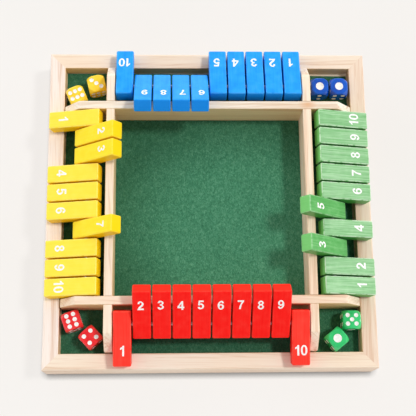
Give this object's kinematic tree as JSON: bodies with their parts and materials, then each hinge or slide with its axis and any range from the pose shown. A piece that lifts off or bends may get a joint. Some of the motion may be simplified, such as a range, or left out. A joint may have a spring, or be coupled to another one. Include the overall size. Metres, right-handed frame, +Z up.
{
  "type": "number dice game",
  "caption": "Square wooden number game: felt-lined rolling tray, numbered tiles that flip on steel rods along every side, and dice in open corner wells.",
  "frame": {"origin": "middle of the square frame at the height of its underside, where it stands on the table", "axes": "+Z up, +X to the right and +Y away from the player of the red row, who sits on the -Y side"},
  "size_m": [0.29, 0.29, 0.0773],
  "materials": {
    "pine": "sanded, clear",
    "plywood": "plain",
    "felt": "short nap",
    "rod_steel": "drawn",
    "red_paint": "satin paint",
    "green_paint": "satin paint",
    "blue_paint": "satin paint",
    "yellow_paint": "satin paint",
    "red_die": "polished, with white pips",
    "green_die": "polished, with white pips",
    "blue_die": "polished, with white pips",
    "yellow_die": "polished, with white pips"
  },
  "bodies": {
    "board": {"rail_front": "pine", "rail_back": "pine", "rail_left": "pine", "rail_right": "pine", "base_panel": "plywood", "felt_lining": "felt", "divider_front": "pine", "divider_back": "pine", "divider_left": "pine", "divider_right": "pine", "tile_rods": "rod_steel"},
    "red_tile_01": {"red_tile_01": "red_paint"},
    "red_tile_02": {"red_tile_02": "red_paint"},
    "red_tile_03": {"red_tile_03": "red_paint"},
    "red_tile_04": {"red_tile_04": "red_paint"},
    "red_tile_05": {"red_tile_05": "red_paint"},
    "red_tile_06": {"red_tile_06": "red_paint"},
    "red_tile_07": {"red_tile_07": "red_paint"},
    "red_tile_08": {"red_tile_08": "red_paint"},
    "red_tile_09": {"red_tile_09": "red_paint"},
    "red_tile_10": {"red_tile_10": "red_paint"},
    "green_tile_01": {"green_tile_01": "green_paint"},
    "green_tile_02": {"green_tile_02": "green_paint"},
    "green_tile_03": {"green_tile_03": "green_paint"},
    "green_tile_04": {"green_tile_04": "green_paint"},
    "green_tile_05": {"green_tile_05": "green_paint"},
    "green_tile_06": {"green_tile_06": "green_paint"},
    "green_tile_07": {"green_tile_07": "green_paint"},
    "green_tile_08": {"green_tile_08": "green_paint"},
    "green_tile_09": {"green_tile_09": "green_paint"},
    "green_tile_10": {"green_tile_10": "green_paint"},
    "blue_tile_01": {"blue_tile_01": "blue_paint"},
    "blue_tile_02": {"blue_tile_02": "blue_paint"},
    "blue_tile_03": {"blue_tile_03": "blue_paint"},
    "blue_tile_04": {"blue_tile_04": "blue_paint"},
    "blue_tile_05": {"blue_tile_05": "blue_paint"},
    "blue_tile_06": {"blue_tile_06": "blue_paint"},
    "blue_tile_07": {"blue_tile_07": "blue_paint"},
    "blue_tile_08": {"blue_tile_08": "blue_paint"},
    "blue_tile_09": {"blue_tile_09": "blue_paint"},
    "blue_tile_10": {"blue_tile_10": "blue_paint"},
    "yellow_tile_01": {"yellow_tile_01": "yellow_paint"},
    "yellow_tile_02": {"yellow_tile_02": "yellow_paint"},
    "yellow_tile_03": {"yellow_tile_03": "yellow_paint"},
    "yellow_tile_04": {"yellow_tile_04": "yellow_paint"},
    "yellow_tile_05": {"yellow_tile_05": "yellow_paint"},
    "yellow_tile_06": {"yellow_tile_06": "yellow_paint"},
    "yellow_tile_07": {"yellow_tile_07": "yellow_paint"},
    "yellow_tile_08": {"yellow_tile_08": "yellow_paint"},
    "yellow_tile_09": {"yellow_tile_09": "yellow_paint"},
    "yellow_tile_10": {"yellow_tile_10": "yellow_paint"},
    "red_die_a": {"red_die_a": "red_die"},
    "red_die_b": {"red_die_b": "red_die"},
    "green_die_a": {"green_die_a": "green_die"},
    "green_die_b": {"green_die_b": "green_die"},
    "blue_die_a": {"blue_die_a": "blue_die"},
    "blue_die_b": {"blue_die_b": "blue_die"},
    "yellow_die_a": {"yellow_die_a": "yellow_die"},
    "yellow_die_b": {"yellow_die_b": "yellow_die"}
  },
  "joints": [
    {"name": "red_die_a_lift", "type": "slide", "parent": "board", "child": "red_die_a", "axis": [0, 0, 1], "range_m": [0, 0.07]},
    {"name": "red_die_b_lift", "type": "slide", "parent": "board", "child": "red_die_b", "axis": [0, 0, 1], "range_m": [0, 0.07]},
    {"name": "green_die_a_lift", "type": "slide", "parent": "board", "child": "green_die_a", "axis": [0, 0, 1], "range_m": [0, 0.07]},
    {"name": "green_die_b_lift", "type": "slide", "parent": "board", "child": "green_die_b", "axis": [0, 0, 1], "range_m": [0, 0.07]},
    {"name": "blue_die_a_lift", "type": "slide", "parent": "board", "child": "blue_die_a", "axis": [0, 0, 1], "range_m": [0, 0.07]},
    {"name": "blue_die_b_lift", "type": "slide", "parent": "board", "child": "blue_die_b", "axis": [0, 0, 1], "range_m": [0, 0.07]},
    {"name": "yellow_die_a_lift", "type": "slide", "parent": "board", "child": "yellow_die_a", "axis": [0, 0, 1], "range_m": [0, 0.07]},
    {"name": "yellow_die_b_lift", "type": "slide", "parent": "board", "child": "yellow_die_b", "axis": [0, 0, 1], "range_m": [0, 0.07]},
    {"name": "red_tile_01_flip", "type": "hinge", "parent": "board", "child": "red_tile_01", "pos_m": [-0.07583, -0.1076, 0.0502], "axis": [-1, 0, 0], "range_deg": [0, 153.36]},
    {"name": "green_tile_01_flip", "type": "hinge", "parent": "board", "child": "green_tile_01", "pos_m": [0.1076, -0.07583, 0.0502], "axis": [0, 1, 0], "range_deg": [-153.36, 0]},
    {"name": "blue_tile_01_flip", "type": "hinge", "parent": "board", "child": "blue_tile_01", "pos_m": [0.07583, 0.1076, 0.0502], "axis": [1, 0, 0], "range_deg": [0, 153.36]},
    {"name": "yellow_tile_01_flip", "type": "hinge", "parent": "board", "child": "yellow_tile_01", "pos_m": [-0.1076, 0.07583, 0.0502], "axis": [0, -1, 0], "range_deg": [-153.36, 0]},
    {"name": "red_tile_10_flip", "type": "hinge", "parent": "board", "child": "red_tile_10", "pos_m": [0.07583, -0.1076, 0.0502], "axis": [-1, 0, 0], "range_deg": [0, 153.36]},
    {"name": "green_tile_10_flip", "type": "hinge", "parent": "board", "child": "green_tile_10", "pos_m": [0.1076, 0.07583, 0.0502], "axis": [0, 1, 0], "range_deg": [-153.36, 0]},
    {"name": "blue_tile_10_flip", "type": "hinge", "parent": "board", "child": "blue_tile_10", "pos_m": [-0.07583, 0.1076, 0.0502], "axis": [1, 0, 0], "range_deg": [0, 153.36]},
    {"name": "yellow_tile_10_flip", "type": "hinge", "parent": "board", "child": "yellow_tile_10", "pos_m": [-0.1076, -0.07583, 0.0502], "axis": [0, -1, 0], "range_deg": [-153.36, 0]},
    {"name": "red_tile_05_flip", "type": "hinge", "parent": "board", "child": "red_tile_05", "pos_m": [-0.00843, -0.1076, 0.0502], "axis": [-1, 0, 0], "range_deg": [-153.36, 0]},
    {"name": "green_tile_05_flip", "type": "hinge", "parent": "board", "child": "green_tile_05", "pos_m": [0.1076, -0.00843, 0.0502], "axis": [0, 1, 0], "range_deg": [0, 153.36]},
    {"name": "blue_tile_05_flip", "type": "hinge", "parent": "board", "child": "blue_tile_05", "pos_m": [0.00843, 0.1076, 0.0502], "axis": [1, 0, 0], "range_deg": [0, 153.36]},
    {"name": "yellow_tile_05_flip", "type": "hinge", "parent": "board", "child": "yellow_tile_05", "pos_m": [-0.1076, 0.00843, 0.0502], "axis": [0, -1, 0], "range_deg": [-153.36, 0]},
    {"name": "red_tile_07_flip", "type": "hinge", "parent": "board", "child": "red_tile_07", "pos_m": [0.02527, -0.1076, 0.0502], "axis": [-1, 0, 0], "range_deg": [-153.36, 0]},
    {"name": "green_tile_07_flip", "type": "hinge", "parent": "board", "child": "green_tile_07", "pos_m": [0.1076, 0.02527, 0.0502], "axis": [0, 1, 0], "range_deg": [-153.36, 0]},
    {"name": "blue_tile_07_flip", "type": "hinge", "parent": "board", "child": "blue_tile_07", "pos_m": [-0.02527, 0.1076, 0.0502], "axis": [1, 0, 0], "range_deg": [-153.36, 0]},
    {"name": "yellow_tile_07_flip", "type": "hinge", "parent": "board", "child": "yellow_tile_07", "pos_m": [-0.1076, -0.02527, 0.0502], "axis": [0, -1, 0], "range_deg": [0, 153.36]},
    {"name": "red_tile_03_flip", "type": "hinge", "parent": "board", "child": "red_tile_03", "pos_m": [-0.04213, -0.1076, 0.0502], "axis": [-1, 0, 0], "range_deg": [-153.36, 0]},
    {"name": "green_tile_03_flip", "type": "hinge", "parent": "board", "child": "green_tile_03", "pos_m": [0.1076, -0.04213, 0.0502], "axis": [0, 1, 0], "range_deg": [0, 153.36]},
    {"name": "blue_tile_03_flip", "type": "hinge", "parent": "board", "child": "blue_tile_03", "pos_m": [0.04213, 0.1076, 0.0502], "axis": [1, 0, 0], "range_deg": [0, 153.36]},
    {"name": "yellow_tile_03_flip", "type": "hinge", "parent": "board", "child": "yellow_tile_03", "pos_m": [-0.1076, 0.04213, 0.0502], "axis": [0, -1, 0], "range_deg": [0, 153.36]},
    {"name": "red_tile_02_flip", "type": "hinge", "parent": "board", "child": "red_tile_02", "pos_m": [-0.05897, -0.1076, 0.0502], "axis": [-1, 0, 0], "range_deg": [-153.36, 0]},
    {"name": "green_tile_02_flip", "type": "hinge", "parent": "board", "child": "green_tile_02", "pos_m": [0.1076, -0.05897, 0.0502], "axis": [0, 1, 0], "range_deg": [-153.36, 0]},
    {"name": "blue_tile_02_flip", "type": "hinge", "parent": "board", "child": "blue_tile_02", "pos_m": [0.05897, 0.1076, 0.0502], "axis": [1, 0, 0], "range_deg": [0, 153.36]},
    {"name": "yellow_tile_02_flip", "type": "hinge", "parent": "board", "child": "yellow_tile_02", "pos_m": [-0.1076, 0.05897, 0.0502], "axis": [0, -1, 0], "range_deg": [0, 153.36]},
    {"name": "red_tile_09_flip", "type": "hinge", "parent": "board", "child": "red_tile_09", "pos_m": [0.05897, -0.1076, 0.0502], "axis": [-1, 0, 0], "range_deg": [-153.36, 0]},
    {"name": "green_tile_09_flip", "type": "hinge", "parent": "board", "child": "green_tile_09", "pos_m": [0.1076, 0.05897, 0.0502], "axis": [0, 1, 0], "range_deg": [-153.36, 0]},
    {"name": "blue_tile_09_flip", "type": "hinge", "parent": "board", "child": "blue_tile_09", "pos_m": [-0.05897, 0.1076, 0.0502], "axis": [1, 0, 0], "range_deg": [-153.36, 0]},
    {"name": "yellow_tile_09_flip", "type": "hinge", "parent": "board", "child": "yellow_tile_09", "pos_m": [-0.1076, -0.05897, 0.0502], "axis": [0, -1, 0], "range_deg": [-153.36, 0]},
    {"name": "red_tile_06_flip", "type": "hinge", "parent": "board", "child": "red_tile_06", "pos_m": [0.00843, -0.1076, 0.0502], "axis": [-1, 0, 0], "range_deg": [-153.36, 0]},
    {"name": "green_tile_06_flip", "type": "hinge", "parent": "board", "child": "green_tile_06", "pos_m": [0.1076, 0.00843, 0.0502], "axis": [0, 1, 0], "range_deg": [-153.36, 0]},
    {"name": "blue_tile_06_flip", "type": "hinge", "parent": "board", "child": "blue_tile_06", "pos_m": [-0.00843, 0.1076, 0.0502], "axis": [1, 0, 0], "range_deg": [-153.36, 0]},
    {"name": "yellow_tile_06_flip", "type": "hinge", "parent": "board", "child": "yellow_tile_06", "pos_m": [-0.1076, -0.00843, 0.0502], "axis": [0, -1, 0], "range_deg": [-153.36, 0]},
    {"name": "red_tile_04_flip", "type": "hinge", "parent": "board", "child": "red_tile_04", "pos_m": [-0.02527, -0.1076, 0.0502], "axis": [-1, 0, 0], "range_deg": [-153.36, 0]},
    {"name": "green_tile_04_flip", "type": "hinge", "parent": "board", "child": "green_tile_04", "pos_m": [0.1076, -0.02527, 0.0502], "axis": [0, 1, 0], "range_deg": [-153.36, 0]},
    {"name": "blue_tile_04_flip", "type": "hinge", "parent": "board", "child": "blue_tile_04", "pos_m": [0.02527, 0.1076, 0.0502], "axis": [1, 0, 0], "range_deg": [0, 153.36]},
    {"name": "yellow_tile_04_flip", "type": "hinge", "parent": "board", "child": "yellow_tile_04", "pos_m": [-0.1076, 0.02527, 0.0502], "axis": [0, -1, 0], "range_deg": [-153.36, 0]},
    {"name": "red_tile_08_flip", "type": "hinge", "parent": "board", "child": "red_tile_08", "pos_m": [0.04213, -0.1076, 0.0502], "axis": [-1, 0, 0], "range_deg": [-153.36, 0]},
    {"name": "green_tile_08_flip", "type": "hinge", "parent": "board", "child": "green_tile_08", "pos_m": [0.1076, 0.04213, 0.0502], "axis": [0, 1, 0], "range_deg": [-153.36, 0]},
    {"name": "blue_tile_08_flip", "type": "hinge", "parent": "board", "child": "blue_tile_08", "pos_m": [-0.04213, 0.1076, 0.0502], "axis": [1, 0, 0], "range_deg": [-153.36, 0]},
    {"name": "yellow_tile_08_flip", "type": "hinge", "parent": "board", "child": "yellow_tile_08", "pos_m": [-0.1076, -0.04213, 0.0502], "axis": [0, -1, 0], "range_deg": [-153.36, 0]}
  ]
}
